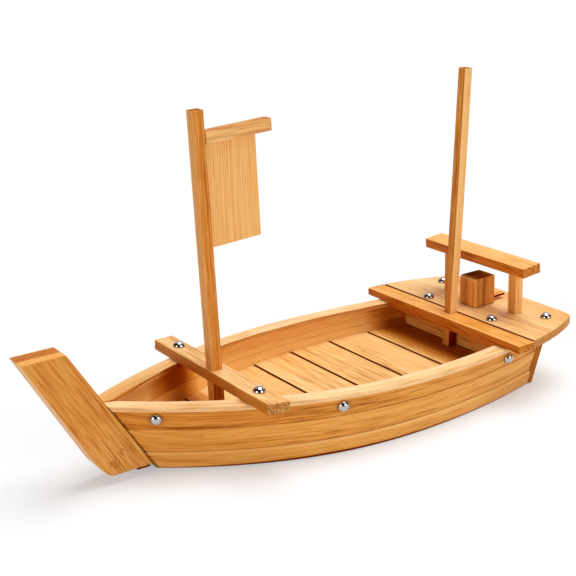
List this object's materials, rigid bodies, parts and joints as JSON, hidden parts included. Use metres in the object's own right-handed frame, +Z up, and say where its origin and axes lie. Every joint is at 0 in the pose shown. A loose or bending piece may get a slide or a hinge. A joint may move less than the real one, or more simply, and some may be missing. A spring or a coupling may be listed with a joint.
{
  "type": "sushi serving boat",
  "caption": "Bamboo serving boat with a planked hull, slatted floor, raked stem, aft deck with crossbar and block, and lift-out masts, for presenting sushi on a table.",
  "frame": {"origin": "on the surface the boat stands on, at the middle of the overall length and of the beam", "axes": "+X to the bow, +Y to port, +Z up"},
  "size_m": [0.5974, 0.248, 0.3382],
  "materials": {
    "honey_bamboo": "satin lacquered laminated bamboo",
    "pale_bamboo": "satin lacquered laminated bamboo, paler strips",
    "amber_bamboo": "satin lacquered laminated bamboo, darker strips",
    "polished_nickel": "polished domed nail heads"
  },
  "bodies": {
    "hull": {"aft_deck": "pale_bamboo", "bottom_board": "honey_bamboo", "bulkhead": "honey_bamboo", "crossbar": "amber_bamboo", "deck_beam": "amber_bamboo", "deck_block": "honey_bamboo", "floor_bearer_1": "amber_bamboo", "floor_bearer_2": "amber_bamboo", "floor_bearer_3": "amber_bamboo", "floor_slat_1": "honey_bamboo", "floor_slat_2": "honey_bamboo", "floor_slat_3": "honey_bamboo", "floor_slat_4": "honey_bamboo", "floor_slat_5": "honey_bamboo", "floor_slat_6": "honey_bamboo", "floor_slat_7": "honey_bamboo", "floor_slat_8": "honey_bamboo", "floor_slat_9": "honey_bamboo", "forefoot": "amber_bamboo", "front_thwart": "pale_bamboo", "port_aft_deck_nail": "polished_nickel", "port_cap_rail": "pale_bamboo", "port_fore_deck_nail": "polished_nickel", "port_middle_strake": "honey_bamboo", "port_post": "honey_bamboo", "port_side_nail_1": "polished_nickel", "port_side_nail_2": "polished_nickel", "port_side_nail_3": "polished_nickel", "port_thwart_nail": "polished_nickel", "port_upper_strake": "honey_bamboo", "port_wale": "honey_bamboo", "rear_thwart": "amber_bamboo", "starboard_aft_deck_nail": "polished_nickel", "starboard_cap_rail": "pale_bamboo", "starboard_fore_deck_nail": "polished_nickel", "starboard_middle_strake": "honey_bamboo", "starboard_post": "honey_bamboo", "starboard_side_nail_1": "polished_nickel", "starboard_side_nail_2": "polished_nickel", "starboard_side_nail_3": "polished_nickel", "starboard_thwart_nail": "polished_nickel", "starboard_upper_strake": "honey_bamboo", "starboard_wale": "honey_bamboo", "stem": "honey_bamboo", "tiller": "pale_bamboo", "transom": "honey_bamboo"},
    "front_mast": {"front_mast": "honey_bamboo", "boom": "honey_bamboo", "sail": "pale_bamboo"},
    "rear_mast": {"rear_mast": "honey_bamboo"}
  },
  "joints": [
    {"name": "front_mast_lift", "type": "slide", "parent": "hull", "child": "front_mast", "axis": [0.0244, 0, 0.9997], "range_m": [0, 0.055]},
    {"name": "rear_mast_lift", "type": "slide", "parent": "hull", "child": "rear_mast", "axis": [-0.0401, 0.0227, 0.9989], "range_m": [0, 0.045]}
  ]
}
